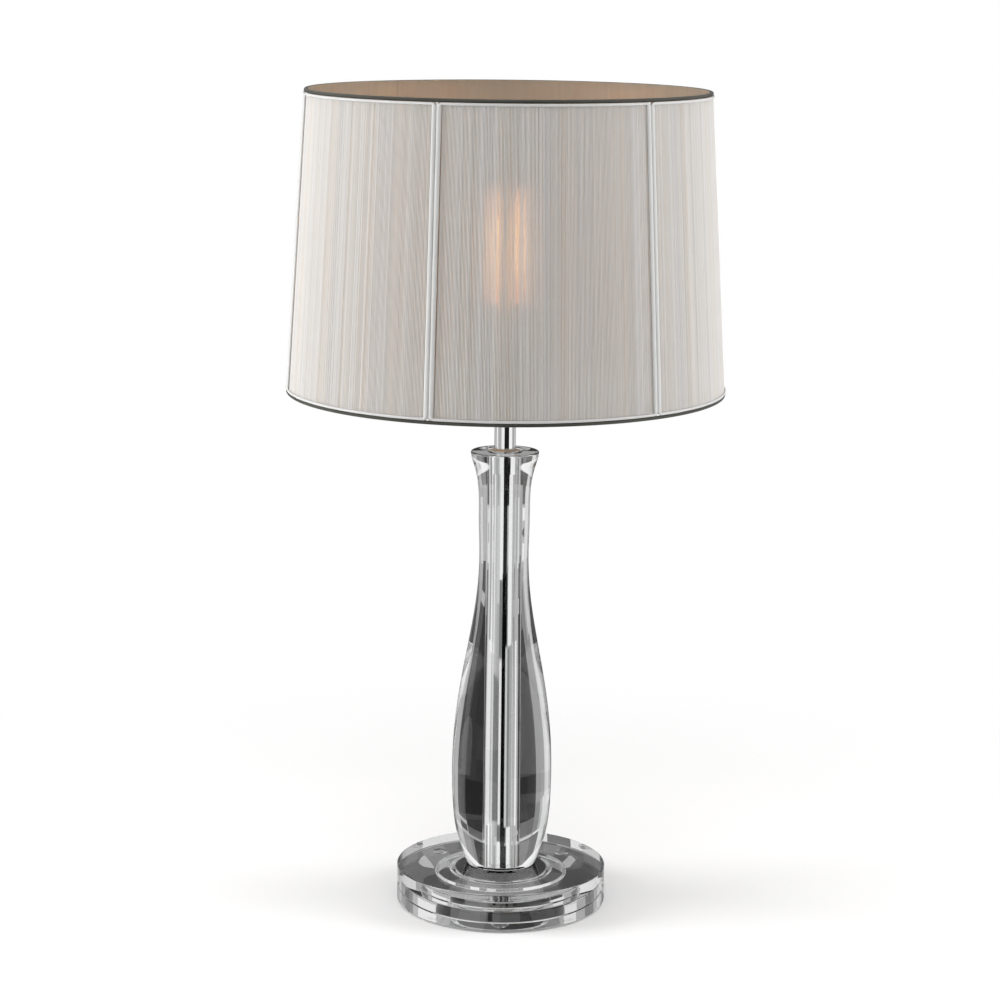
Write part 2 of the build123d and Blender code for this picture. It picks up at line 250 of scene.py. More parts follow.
class Link:
    """A socket of a node tree that adds Math nodes when it is used in an expression."""

    def __init__(self, tree, socket):
        self.tree = tree
        self.socket = socket

    def maths(self, operation, *values):
        return self.tree.value("ShaderNodeMath", 0, {"operation": operation}, dict(enumerate(values)))

    def __add__(self, other):
        return self.maths("ADD", self, other)

    def __radd__(self, other):
        return self.maths("ADD", other, self)

    def __sub__(self, other):
        return self.maths("SUBTRACT", self, other)

    def __rsub__(self, other):
        return self.maths("SUBTRACT", other, self)

    def __mul__(self, other):
        return self.maths("MULTIPLY", self, other)

    def __rmul__(self, other):
        return self.maths("MULTIPLY", other, self)

    def __neg__(self):
        return self.maths("MULTIPLY", self, -1.0)

    def clamp(self):
        return self.maths("MINIMUM", self.maths("MAXIMUM", self, 0.0), 1.0)

    def rise(self, start, end):
        """0 before start, 1 after end, and smooth between."""
        return self.tree.value("ShaderNodeMapRange", 0, {"interpolation_type": "SMOOTHSTEP"},
                               {"Value": self, "From Min": start, "From Max": end})


class Tree:
    """A node tree, and the one way in which nodes are added to it."""

    def __init__(self, owner):
        owner.use_nodes = True
        self.owner = owner
        self.nodes = owner.node_tree.nodes
        self.links = owner.node_tree.links

    def node(self, kind, settings=None, sockets=None):
        made = self.nodes.new(kind)
        for name, value in (settings or {}).items():
            setattr(made, name, value)
        for name, value in (sockets or {}).items():
            self.feed(made.inputs[name], value)
        return made

    def value(self, kind, output, settings=None, sockets=None):
        return Link(self, self.node(kind, settings, sockets).outputs[output])

    def feed(self, socket, value):
        if isinstance(value, Link):
            self.links.new(value.socket, socket)
        else:
            socket.default_value = value

    def noise(self, place, scale, detail=2.0, output="Fac"):
        return self.value("ShaderNodeTexNoise", output, None,
                          {"Vector": place, "Scale": scale, "Detail": detail})

    def stretched(self, place, scale):
        """A place with each axis scaled by itself."""
        return self.value("ShaderNodeMapping", 0, None, {"Vector": place, "Scale": scale})

    def mix(self, share, first, second):
        """A colour between two, through a Mix node."""
        return self.value("ShaderNodeMix", 2, {"data_type": "RGBA"}, {0: share, 6: first, 7: second})

    def parts(self, place):
        split = self.node("ShaderNodeSeparateXYZ", None, {0: place})
        return [Link(self, split.outputs[axis]) for axis in "XYZ"]

    def join_parts(self, x, y, z):
        return self.value("ShaderNodeCombineXYZ", 0, None, {"X": x, "Y": y, "Z": z})


class Finish(Tree):
    """A material with one Principled shader, its plain sockets set and its place on the object at hand."""

    def __init__(self, name, colour, roughness, **plain):
        super().__init__(bpy.data.materials.new(name))
        self.shader = self.nodes["Principled BSDF"]
        self.output = self.nodes["Material Output"]
        self.set("Base Color", colour)
        self.set("Roughness", roughness)
        for name, value in plain.items():
            self.set(name.replace("_", " ").title().replace("Ior", "IOR"), value)
        self.place = self.value("ShaderNodeTexCoord", "Object")

    def set(self, name, value):
        self.feed(self.shader.inputs[name], value)

    def bump(self, height, strength, distance):
        self.set("Normal", self.value("ShaderNodeBump", 0, None,
                                      {"Height": height, "Strength": strength, "Distance": distance}))

    def around(self, across, along):
        """A place unrolled round the axis: turns times `across`, and height times `along`."""
        x, y, z = self.parts(self.place)
        return self.join_parts(x.maths("ARCTAN2", y, x) * across, 0.0, z * along)


def grey(value, alpha=1.0):
    return (value, value, value, alpha)


# ---- Finishes ----

GLOW_STRENGTH = 12.5
LINING_COVER = 0.64                 # of each of the lining's two faces
LINING_THREADS_AROUND = 300.0       # per radian
LINING_THREADS_UP = 2000.0          # per metre
TAPE_RIB = 0.5 * MM


def crystal():
    """Polished clear lead-free crystal, with the faintest cloud in its tint and polish."""
    glass = Finish("crystal", grey(0.985), 0.0, transmission_weight=1.0, ior=1.52)
    cloud = glass.noise(glass.place, 26.0)
    glass.set("Base Color", glass.mix(cloud, (0.975, 0.985, 0.985, 1), (0.995, 0.995, 0.99, 1)))
    glass.set("Roughness", glass.noise(glass.place, 90.0).rise(0.55, 1.0) * 0.012)
    return glass.owner


def clear_rubber():
    rubber = Finish("clear_rubber", grey(0.9), 0.05, transmission_weight=1.0, ior=1.41)
    rubber.set("Roughness", rubber.noise(rubber.place, 700.0) * 0.03)
    rubber.set("Base Color", rubber.mix(rubber.noise(rubber.place, 60.0), grey(0.9), grey(0.97)))
    return rubber.owner


def chrome():
    """Mirror chrome over a drawn tube: faint lengthwise draw marks in its polish."""
    metal = Finish("chrome", (0.9, 0.9, 0.91, 1), 0.04, metallic=1.0)
    marks = metal.noise(metal.stretched(metal.place, (900.0, 900.0, 12.0)), 1.0)
    metal.set("Roughness", 0.02 + marks * 0.035)
    metal.set("Base Color", metal.mix(metal.noise(metal.place, 35.0), grey(0.86), (0.93, 0.93, 0.94, 1)))
    return metal.owner


def steel():
    metal = Finish("zinc_plated_steel", grey(0.6), 0.35, metallic=1.0)
    spangle = metal.noise(metal.place, 420.0)
    metal.set("Roughness", 0.26 + spangle * 0.2)
    metal.set("Base Color", metal.mix(spangle, (0.5, 0.52, 0.54, 1), (0.7, 0.69, 0.66, 1)))
    metal.bump(metal.noise(metal.place, 1500.0), 0.15, 0.0002)
    return metal.owner


def black_plastic():
    plastic = Finish("black_plastic", grey(0.025), 0.4)
    grain = plastic.noise(plastic.place, 2200.0)
    plastic.set("Roughness", 0.34 + grain * 0.16)
    plastic.set("Base Color", plastic.mix(plastic.noise(plastic.place, 50.0), grey(0.02), grey(0.034)))
    plastic.bump(grain, 0.12, 0.0001)
    return plastic.owner


def porcelain():
    glaze = Finish("porcelain", (0.86, 0.85, 0.8, 1), 0.12, coat_roughness=0.06)
    cloud = glaze.noise(glaze.place, 160.0)
    glaze.set("Base Color", glaze.mix(cloud, (0.82, 0.8, 0.74, 1), (0.9, 0.89, 0.85, 1)))
    glaze.set("Coat Weight", 0.5 + glaze.noise(glaze.place, 60.0) * 0.4)
    return glaze.owner


def yellow_metal(name, dull, bright):
    metal = Finish(name, bright, 0.28, metallic=1.0)
    tarnish = metal.noise(metal.place, 260.0)
    metal.set("Base Color", metal.mix(tarnish, dull, bright))
    metal.set("Roughness", 0.2 + tarnish * 0.2)
    return metal.owner


def bulb_plastic():
    plastic = Finish("bulb_plastic", (0.86, 0.86, 0.82, 1), 0.3)
    plastic.set("Roughness", 0.24 + plastic.noise(plastic.place, 900.0) * 0.14)
    plastic.set("Base Color", plastic.mix(plastic.noise(plastic.place, 70.0), (0.83, 0.82, 0.77, 1),
                                          (0.89, 0.89, 0.86, 1)))
    return plastic.owner


def glowing_tube():
    """Opal glass lit from inside: brightest half way up and dimmer where the legs enter the housing."""
    glass = Finish("bulb_glass", (0.95, 0.9, 0.8, 1), 0.18)
    x, y, z = glass.parts(glass.place)
    foot = low("bulb_tube_left")
    top = high("bulb_tube_left")
    lit = z.rise(foot, foot + 0.45 * (top - foot)) * (1 - z.rise(top - 0.5 * (top - foot), top + 0.01))
    glass.set("Emission Color", glass.mix(lit, (0.55, 0.18, 0.03, 1), (1.0, 0.5, 0.16, 1)))
    glass.set("Emission Strength", GLOW_STRENGTH)
    return glass.owner


def near_black_ring_wire():
    """Near-black on the steel wire of the shade's rings, a little warm and uneven in its darkness and
    gloss.
    """
    paint = Finish("dark_wire", (0.045, 0.045, 0.035, 1), 0.35)
    paint.set("Roughness", 0.3 + paint.noise(paint.place, 500.0) * 0.18)
    paint.set("Base Color", paint.mix(paint.noise(paint.place, 40.0), (0.03, 0.03, 0.024, 1),
                                      (0.06, 0.058, 0.046, 1)))
    return paint.owner


def white_wire():
    paint = Finish("white_wire", grey(0.8), 0.4)
    powder = paint.noise(paint.place, 1600.0)
    paint.set("Roughness", 0.34 + powder * 0.2)
    paint.set("Base Color", paint.mix(powder, grey(0.76), (0.84, 0.84, 0.82, 1)))
    paint.bump(powder, 0.2, 0.0001)
    return paint.owner


def see_through(finish, share, colour):
    """Lets part of the light pass through a thin fabric and scatter on its other side."""
    glow = finish.node("ShaderNodeBsdfTranslucent", None, {"Color": colour})
    blend = finish.node("ShaderNodeMixShader", None, {0: share})
    finish.links.new(finish.shader.outputs[0], blend.inputs[1])
    finish.links.new(glow.outputs[0], blend.inputs[2])
    finish.links.new(blend.outputs[0], finish.output.inputs["Surface"])


def scatter(finish, share, roughness, colour):
    """Lets part of the light through a thin film nearly straight on, and blurred."""
    straight = finish.output.inputs["Surface"].links[0].from_socket
    film = finish.node("ShaderNodeBsdfRefraction", None,
                       {"Color": colour, "Roughness": roughness, "IOR": 1.3})
    blend = finish.node("ShaderNodeMixShader", None, {0: share})
    finish.links.new(straight, blend.inputs[1])
    finish.links.new(film.outputs[0], blend.inputs[2])
    finish.links.new(blend.outputs[0], finish.output.inputs["Surface"])


def lining():
    """Taupe fabric laminated on clear film: a fine plain weave, a little open to light."""
    cloth = Finish("lining", (0.5, 0.45, 0.38, 1), 0.7)
    around = cloth.around(LINING_THREADS_AROUND, LINING_THREADS_UP)
    across, _, up = cloth.parts(around)
    weave = across.maths("SINE", across * tau) * up.maths("SINE", up * tau)
    slub = cloth.noise(cloth.stretched(cloth.place, (300.0, 300.0, 40.0)), 1.0)
    cloth.set("Base Color", cloth.mix((0.5 + weave * 0.25 + (slub - 0.5) * 0.7).clamp(),
                                      (0.44, 0.39, 0.32, 1), (0.58, 0.53, 0.46, 1)))
    cloth.set("Roughness", 0.62 + slub * 0.2)
    cloth.set("Alpha", (LINING_COVER + (slub - 0.5) * 0.12).clamp())
    cloth.bump(weave, 0.25, 0.0001)
    see_through(cloth, 0.12, (0.8, 0.66, 0.5, 1))
    scatter(cloth, 0.2, 0.42, (1.0, 0.92, 0.8, 1))
    return cloth.owner


def woven_tape():
    """White satin tape: fine cross ribs and a soft sheen."""
    cloth = Finish("woven_tape", (0.66, 0.66, 0.65, 1), 0.5, sheen_weight=0.15, sheen_roughness=0.4)
    x, y, z = cloth.parts(cloth.place)
    ribs = z.maths("SINE", z * (tau / TAPE_RIB))
    fibre = cloth.noise(cloth.place, 1800.0)
    cloth.set("Base Color", cloth.mix((0.5 + ribs * 0.25 + (fibre - 0.5)).clamp(), (0.50, 0.50, 0.495, 1),
                                      (0.60, 0.60, 0.59, 1)))
    cloth.set("Roughness", 0.4 + fibre * 0.25)
    cloth.bump(ribs * 0.5 + fibre, 0.3, 0.00008)
    return cloth.owner


def silver_thread():
    """Satin thread in silver grey, each length a little warmer, cooler, lighter or darker than the next.

    A panel of threads carries two attributes from 0 to 1, its tone and its warmth."""
    yarn = Finish("thread", (0.72, 0.71, 0.69, 1), 0.42, sheen_weight=0.25, sheen_roughness=0.35)
    tone = yarn.value("ShaderNodeAttribute", "Fac", {"attribute_name": "tone"})
    warmth = yarn.value("ShaderNodeAttribute", "Fac", {"attribute_name": "warmth"})
    slub = yarn.noise(yarn.stretched(yarn.place, (1.0, 1.0, 0.12)), 500.0)
    cool = yarn.mix(tone, (0.64, 0.65, 0.665, 1), (0.82, 0.825, 0.835, 1))
    warm = yarn.mix(tone, (0.65, 0.62, 0.57, 1), (0.84, 0.81, 0.765, 1))
    yarn.set("Base Color", yarn.mix(warmth, cool, warm))
    yarn.set("Roughness", 0.34 + slub * 0.22)
    see_through(yarn, 0.24, (0.8, 0.66, 0.49, 1))
    return yarn.owner


finishes = {
    "crystal": crystal(),
    "clear_rubber": clear_rubber(),
    "chrome": chrome(),
    "steel": steel(),
    "black_plastic": black_plastic(),
    "porcelain": porcelain(),
    "brass": yellow_metal("brass", (0.55, 0.38, 0.15, 1), (0.83, 0.62, 0.3, 1)),
    "nickel": yellow_metal("nickel", (0.6, 0.59, 0.55, 1), (0.8, 0.78, 0.74, 1)),
    "bulb_plastic": bulb_plastic(),
    "bulb_glass": glowing_tube(),
    "dark_wire": near_black_ring_wire(),
    "white_wire": white_wire(),
    "liner": lining(),
    "tape": woven_tape(),
    "thread": silver_thread(),
}


# ---- Glass ----

column_outline = [              # radius, height above the column's foot
    (26.3, 0.0),
    (33.9, 22.5),               # the swell above the foot
    (37.8, 56.0),               # the belly, rising
    (37.3, 99.0),               # the belly, drawing in
    (33.4, 135.0),              # the shoulder
    (26.4, 174.5),              # half way in
    (20.3, 213.0),              # the neck
    (18.7, 240.0),              # the waist
    (19.3, 270.0),              # above the waist
    (22.0, 307.0),              # the flare below the lip
    (25.9, 320.3),              # the lip
]


def crystal_column():
    foot = low("crystal_body")
    top = high("crystal_body")
    bore = 9.0 * MM
    foot_slope, lip_slope = 0.42, 0.25
    points = [(r * MM, foot + h * MM) for r, h in column_outline]
    side = smooth_curve(points, foot_slope, lip_slope, 150)
    lip_radius = side[-1][0]
    lip_edge = top - 0.4 * MM
    ferrule_radius = radius_of("top_ferrule")
    side = [(r, z) for r, z in side if z < lip_edge - 2.0 * MM]
    lip = [(lip_radius, lip_edge), (ferrule_radius, top), (bore, top)]
    piece = turned("crystal_column", [(bore, foot)] + side + lip, sides=192)
    bevel_rings([(lip_radius, lip_edge)], 1.4 * MM, 6)
    bevel_rings([side[0]], 0.8 * MM)
    bevel_rings([(bore, top), (bore, foot)], 0.3 * MM, 2)
    finish_mesh(piece, flats=True)
    return fit(piece, "stand", "crystal", finishes["crystal"], "crystal_body")


def crystal_base():
    foot = low("base_disc")
    top = high("base_disc")
    radius = radius_of("base_disc")
    recess, recess_top = 50.0 * MM, foot + 9.0 * MM
    seat, seat_top = 39.0 * MM, foot + 14.5 * MM
    bore = 5.3 * MM
    piece = turned("crystal_base", [(bore, top), (radius, top), (radius, foot), (recess, foot),
                                    (recess, recess_top), (seat, recess_top), (seat, seat_top),
                                    (bore, seat_top)], sides=256)
    bevel_rings([(radius, top), (radius, foot)], 1.0 * MM, 4)
    bevel_rings([(recess, foot), (seat, recess_top)], 0.8 * MM, 3)
    bevel_rings([(recess, recess_top), (seat, seat_top)], 0.6 * MM, 3)
    finish_mesh(piece)
    drill_radius, drill_length = 4.0 * MM, 40.0 * MM
    drill_place = (0, radius - 14.0 * MM, 9.0 * MM)
    clear_selection()
    bpy.ops.mesh.primitive_cylinder_add(vertices=48, radius=drill_radius, depth=drill_length,
                                        location=drill_place, rotation=(pi / 2, 0, 0))
    drill = begin("cord_hole")
    bpy.ops.object.mode_set(mode="OBJECT")
    apply_modifier(piece, "BOOLEAN", operation="DIFFERENCE", object=drill, solver="EXACT")
    bpy.data.objects.remove(drill)
    finish_mesh(piece, flats=True)
    return fit(piece, "stand", "crystal", finishes["crystal"], "base_disc")


# ---- Metal and holder ----

def column_tube():
    outer = radius_of("chrome_sleeve")
    foot, top = low("chrome_sleeve"), high("chrome_sleeve")
    inner = outer - 1.0 * MM
    piece = turned("column_tube", [(inner, foot), (outer, foot), (outer, top), (inner, top)], sides=160)
    bevel_rings([(outer, foot), (outer, top)], 0.2 * MM, 2)
    finish_mesh(piece, flats=True)
    return fit(piece, "stand", "chrome", finishes["chrome"], "chrome_sleeve")


def lip_ferrule():
    """The flanged bush on the lip: a spigot in the bore, and a flange with a low domed top."""
    outer = radius_of("top_ferrule")
    foot, top = low("top_ferrule"), high("top_ferrule")
    flange_foot = top - 1.6 * MM
    rim_top = top - 0.9 * MM
    bore = 8.1 * MM
    spigot = 8.9 * MM
    piece = turned("lip_ferrule", [(bore, foot), (spigot, foot), (spigot, flange_foot),
                                   (outer, flange_foot), (outer, rim_top), (bore, top)], sides=160)
    bevel_rings([(outer, rim_top)], 0.4 * MM, 4)
    bevel_rings([(outer, flange_foot), (bore, top)], 0.2 * MM, 2)
    finish_mesh(piece, flats=True)
    return fit(piece, "stand", "chrome", finishes["chrome"], "top_ferrule")


def screw_thread(piece, outer, start, end, pitch, depth):
    """Cuts a rounded helical groove into a turned wall between two heights."""
    co = coordinates(piece)
    r = np.hypot(co[:, 0], co[:, 1])
    turn = np.arctan2(co[:, 1], co[:, 0]) / tau
    wave = (1 - np.cos(tau * (co[:, 2] / pitch - turn))) / 2
    ease = np.clip((co[:, 2] - start) / pitch, 0, 1) * np.clip((end - co[:, 2]) / pitch, 0, 1)
    scale = np.where(abs(r - outer) < SAME_PLACE, 1 - depth * wave * ease / outer, 1)
    co[:, 0] *= scale
    co[:, 1] *= scale
    move_vertices(piece, co)


def levels(r, start, end, step):
    """Close-set points up a straight wall."""
    count = max(1, round(abs(end - start) / step))
    return [(r, start + (end - start) * i / count) for i in range(count + 1)]


def lampholder_body():
    foot, top = low("holder_body"), high("holder_body")
    thread = 19.6 * MM
    flange = radius_of("holder_body")
    flange_foot = foot + 6.0 * MM
    flange_top = foot + 8.0 * MM
    block = 15.3 * MM
    block_top = high("contact_block")
    bore, mouth = 14.8 * MM, 14.2 * MM
    mouth_foot = top - 1.5 * MM
    outside = [(block, foot), (thread, foot), (thread, flange_foot), (flange, flange_foot),
               (flange, flange_top)] + levels(thread, flange_top, top, 0.25 * MM)
    inside = [(mouth, top), (mouth, mouth_foot), (bore, mouth_foot), (bore, block_top), (block, block_top)]
    piece = turned("lampholder_body", outside + inside, sides=96)
    finish_mesh(piece)
    pitch, depth = 2.5 * MM, 0.8 * MM
    screw_thread(piece, thread, flange_top + 1.0 * MM, top - 1.0 * MM, pitch, depth)
    return fit(piece, "stand", "black_plastic", finishes["black_plastic"], "holder_body")


def lampholder_cap():
    foot, top = low("holder_cap"), high("holder_cap")
    outer = radius_of("holder_cap")
    neck = 11.5 * MM
    inner = outer - 1.8 * MM
    floor = foot + 2.5 * MM
    boss = 8.0 * MM
    boss_top = floor + 9.0 * MM
    bore = 5.05 * MM
    shoulder = 5.0 * MM
    groove = outer - 0.5 * MM
    outside = [(bore, foot), (neck, foot), (outer, foot + shoulder), (outer, top - 4.0 * MM),
               (groove, top - 3.5 * MM), (groove, top - 2.6 * MM), (outer, top - 2.1 * MM), (outer, top)]
    inside = [(inner, top), (inner, floor + shoulder), (neck, floor), (boss, floor), (boss, boss_top),
              (bore, boss_top)]
    piece = turned("lampholder_cap", outside + inside, sides=96)
    bevel_rings([(outer, foot + shoulder), (neck, foot)], 1.2 * MM, 4)
    bevel_rings([(outer, top)], 0.3 * MM, 2)
    finish_mesh(piece)
    return fit(piece, "stand", "black_plastic", finishes["black_plastic"], "holder_cap")


def shade_clamp_ring():
    """The ring that holds the shade down: ribbed for the fingers. Its bore is left plain, without the
    thread the real ring has inside.
    """
    foot, top = low("shade_clamp_ring"), high("shade_clamp_ring")
    outer = 23.0 * MM
    bore = 19.9 * MM
    wall = levels(outer, foot, top, 0.5 * MM)
    inside = levels(bore, top, foot, 0.5 * MM)
    piece = turned("clamp_ring", wall + inside, sides=216)
    finish_mesh(piece)
    co = coordinates(piece)
    r = np.hypot(co[:, 0], co[:, 1])
    turn = np.arctan2(co[:, 1], co[:, 0])
    grooves, groove_depth, edge_round = 18, 0.8 * MM, 0.8 * MM
    groove = np.clip(np.cos(grooves * turn), 0, 1) ** 3 * groove_depth
    edge = np.minimum(co[:, 2] - foot, top - co[:, 2])
    round_off = np.clip(edge_round - edge, 0, 1) ** 2 / (2 * edge_round)
    scale = np.where(r > (outer + bore) / 2, 1 - (groove + round_off) / outer, 1)
    co[:, 0] *= scale
    co[:, 1] *= scale
    move_vertices(piece, co)
    return fit(piece, "clamp_ring", "black_plastic", finishes["black_plastic"], "shade_clamp_ring")


# ---- Bulb ----

def bulb_screw_cap():
    foot, top = low("bulb_cap"), high("bulb_cap")
    outer = radius_of("bulb_cap")
    thread_foot = foot + 1.0 * MM
    crimp = top - 3.0 * MM
    outline = [(0, foot), (outer - 1.0 * MM, foot)] + levels(outer, thread_foot, crimp, 0.25 * MM)
    outline += [(outer - 0.3 * MM, crimp + 0.6 * MM), (outer, top - 1.0 * MM), (outer, top), (0, top)]
    piece = turned("bulb_screw_cap", outline, sides=96)
    finish_mesh(piece, 50)
    pitch, depth = 3.6 * MM, 0.9 * MM
    screw_thread(piece, outer, thread_foot, crimp, pitch, depth)
    return fit(piece, "bulb", "nickel", finishes["nickel"], "bulb_cap")


def bulb_housing():
    """The moulded housing: a waisted collar, a shallow parting groove and a rounded shoulder."""
    foot, top = low("bulb_housing"), high("bulb_housing")
    outer = radius_of("bulb_housing")
    neck = 15.5 * MM
    collar = foot + 9.0 * MM
    groove = top - 12.0 * MM
    groove_floor = outer - 0.4 * MM
    piece = turned("bulb_housing_shell", [
        (0, foot), (neck, foot), (neck + 0.4 * MM, foot + 2.0 * MM),
        (outer - 0.5 * MM, collar - 0.8 * MM), (outer, collar + 0.8 * MM), (outer, groove),
        (groove_floor, groove + 0.4 * MM), (groove_floor, groove + 0.8 * MM), (outer, groove + 1.2 * MM),
        (outer, top), (0, top)], sides=96)
    bevel_rings([(outer, top)], 1.2 * MM, 5)
    finish_mesh(piece, 40)
    return fit(piece, "bulb", "bulb_plastic", finishes["bulb_plastic"], "bulb_housing")


# ---- Shade ----

thread_pitch = 1.0 * MM
thread_radius = 0.41 * MM
thread_depth = 0.92 * MM            # thread's middle, in from the shade's cone
threads_left_out = 6                # of each panel's width, for the tape that covers its edges


def waves(count, lengths):
    """A smooth random run of numbers from -1 to 1, one for each thread: waves of (length, weight)."""
    places = np.arange(count)
    total = sum(weight * np.sin(tau * (places / length + chance.random())) for length, weight in lengths)
    return total / sum(weight for length, weight in lengths)


def uneven(count, least, most):
    """A random number for each thread."""
    return np.array([chance.uniform(least, most) for _ in range(count)])


def thread_panel(index):
    """Threads stretched from ring to ring between two ribs, each its own round length."""
    foot, top = low(f"thread_panel_{index}"), high(f"thread_panel_{index}")
    start = first_rib_angle + panel_turn * (index - 1)
    count = int(panel_turn * shade_foot_radius / thread_pitch) - threads_left_out
    clear_selection()
    bpy.ops.mesh.primitive_cylinder_add(vertices=6, radius=thread_radius, depth=top - foot,
                                        location=(0, 0, (foot + top) / 2))
    piece = begin(f"threads_{index}")
    pick(lambda edge: abs(edge.verts[0].co.z - edge.verts[1].co.z) > 0.1, "EDGE")
    bpy.ops.mesh.subdivide(number_cuts=2)
    bpy.ops.object.mode_set(mode="OBJECT")
    apply_modifier(piece, "ARRAY", fit_type="FIXED_COUNT", count=count, use_relative_offset=False,
                   use_constant_offset=True, constant_offset_displace=(0, 0, 0))
    co = coordinates(piece)
    which = np.repeat(np.arange(count), len(co) // count)
    density = waves(count, [(37, 1.0), (17, 0.8), (9, 0.7)])
    steps = 1 + 0.08 * density + uneven(count, -0.09, 0.09)
    places = np.cumsum(steps)
    places = (places - places[0]) / (places[-1] - places[0])
    first_gap = 4.7 * MM / shade_foot_radius
    last_gap = 2.0 * MM / shade_foot_radius
    turns = start + first_gap + places * (panel_turn - first_gap - last_gap)
    sizes = uneven(count, 0.88, 1.08)
    depth = thread_depth + uneven(count, -0.05, 0.05) * MM
    cone = shade_radius(co[:, 2])
    slack = uneven(count, -0.02, 0.02) * MM
    climb = (co[:, 2] - foot) / (top - foot)
    sideways = co[:, 1] * sizes[which] + slack[which] * np.sin(pi * climb)
    outwards = co[:, 0] * sizes[which] + cone - depth[which]
    move_vertices(piece, about_axis(np.column_stack([outwards, sideways, co[:, 2]]), turns[which]))
    tones = 0.5 + 0.3 * waves(count, [(29, 0.6), (11, 1.0), (5, 0.9)])
    tones += uneven(count, -0.13, 0.13)
    warmths = 0.5 + 0.42 * waves(count, [(41, 0.8), (23, 1.0), (8, 0.8)])
    for name, values in (("tone", tones), ("warmth", warmths)):
        attribute = piece.data.attributes.new(name, "FLOAT", "POINT")
        attribute.data.foreach_set("value", np.clip(values, 0, 1)[which].astype(np.float32))
    finish_mesh(piece, 80)
    return fit(piece, "shade", "thread", finishes["thread"], f"thread_panel_{index}")


def panel_piping(index):
    """A rolled tape sewn round the edge of one panel, in one closed loop with round corners.

    Up the sides it is wide and full, and two of them side by side cover each strut. Along the rings
    it is thin."""
    rib = first_rib_angle + panel_turn * (index - 1)
    side_half, side_rise = rib_width / 4, 1.15 * MM
    edge_half, edge_rise = 0.95 * MM, 0.6 * MM
    corner = 2.4 * MM
    foot = tape_foot + edge_half
    top = tape_top - edge_half
    side_steps, corner_steps, edge_steps = 60, 12, 80
    heights = np.linspace(foot + corner, top - corner, side_steps, endpoint=False)
    bends = [(sin(b), cos(b)) for b in np.linspace(0, pi / 2, corner_steps, endpoint=False)]
    span = np.linspace(0, 1, edge_steps, endpoint=False)

    def in_corner(end, sign, aside, upwards, fullness, side):
        """A point of a corner, from its distance out of the side and out of the end, as shares of it."""
        return (side_half + corner * (1 - abs(aside)), end - sign * corner * (1 - abs(upwards)),
                aside, upwards, fullness, side)

    # Distance from the nearer rib, height, the loop's outward direction, fullness, left 0 to right 1.
    loop = [(side_half, z, -1.0, 0.0, 1.0, 0.0) for z in heights]
    loop += [in_corner(top, 1, -c, s, 1 - s, 0.0) for s, c in bends]
    loop += [(side_half + corner, top, 0.0, 1.0, 0.0, share) for share in span]
    loop += [in_corner(top, 1, s, c, 1 - c, 1.0) for s, c in bends]
    loop += [(side_half, z, 1.0, 0.0, 1.0, 1.0) for z in heights[::-1] + (heights[1] - heights[0])]
    loop += [in_corner(foot, -1, c, -s, 1 - s, 1.0) for s, c in bends]
    loop += [(side_half + corner, foot, 0.0, -1.0, 0.0, 1.0 - share) for share in span]
    loop += [in_corner(foot, -1, -s, -c, 1 - c, 0.0) for s, c in bends]
    from_rib, height, aside, upwards, fullness, share = np.array(loop).T
    clear_selection()
    bpy.ops.mesh.primitive_torus_add(major_segments=len(loop), minor_segments=12, major_radius=1.0,
                                     minor_radius=0.25)
    piece = begin(f"piping_{index}")
    bpy.ops.object.mode_set(mode="OBJECT")
    co = coordinates(piece)
    at = np.rint(np.arctan2(co[:, 1], co[:, 0]) / tau * len(loop)).astype(int) % len(loop)
    across = (np.hypot(co[:, 0], co[:, 1]) - 1) / 0.25
    rise = co[:, 2] / 0.25
    half = edge_half + (side_half - edge_half) * fullness
    half *= 1 + 0.03 * np.sin(np.arange(len(loop)) * 0.37 + index)
    thick = edge_rise + (side_rise - edge_rise) * fullness
    z = height[at] + upwards[at] * half[at] * across
    cone = shade_radius(z)
    sideways = np.where((share > 0) & (share < 1), 0.0, aside)[at] * half[at] * across
    left = rib + from_rib[at] / cone
    right = rib + panel_turn - from_rib[at] / cone
    turn = left + (right - left) * share[at] + sideways / cone
    out = cone + 0.05 * MM + thick[at] * rise
    move_vertices(piece, about_axis(np.column_stack([out, np.zeros(len(out)), z]), turn))
    finish_mesh(piece, 60)
    return fit(piece, "shade", "tape", finishes["tape"],
               f"rib_trim_{index}", "top_border", "bottom_border")


def shade_lining():
    """One sheet of laminated fabric rolled into a cone, with its two ends lapped in a glued seam."""
    foot, top = low("shade_liner"), high("shade_liner")
    inset = shade_radius(foot) - radius_of("shade_liner")
    thickness = 0.6 * MM
    rows = 12
    seam, seam_half, seam_rise = radians(124), radians(1.6), 0.45 * MM
    outside = [(shade_radius(z) - inset, z) for z in np.linspace(foot, top, rows)]
    inside = [(r - thickness, z) for r, z in reversed(outside)]
    piece = turned("shade_lining", outside + inside, sides=240)
    bpy.ops.mesh.select_all(action="SELECT")
    bpy.ops.mesh.normals_make_consistent(inside=False)

    def in_seam(face):
        centre = face.calc_center_median()
        on_seam = abs(atan2(centre.y, centre.x) - seam) < seam_half
        return on_seam and face.normal.xy.dot(centre.xy) < -0.1

    pick(in_seam, "FACE")
    bpy.ops.mesh.extrude_region_shrink_fatten(TRANSFORM_OT_shrink_fatten={"value": seam_rise})
    finish_mesh(piece)
    mean = (outside[0][0] + outside[-1][0]) / 2
    fit(piece, "shade", "liner", finishes["liner"], "shade_liner")
    tau * mean
    return piece


crystal_column()
crystal_base()
column_tube()
lip_ferrule()
lampholder_cap()
lampholder_body()
shade_clamp_ring()
bulb_screw_cap()
bulb_housing()
for number in range(1, panel_count + 1):
    thread_panel(number)
    panel_piping(number)
shade_lining()

for subpart in frame["record"]["subparts"]:
    kept = nodes[subpart["node"]]
    kept.data.materials.clear()
    kept.data.materials.append(finishes[subpart["material_slot"]])


# ---- Studio ----

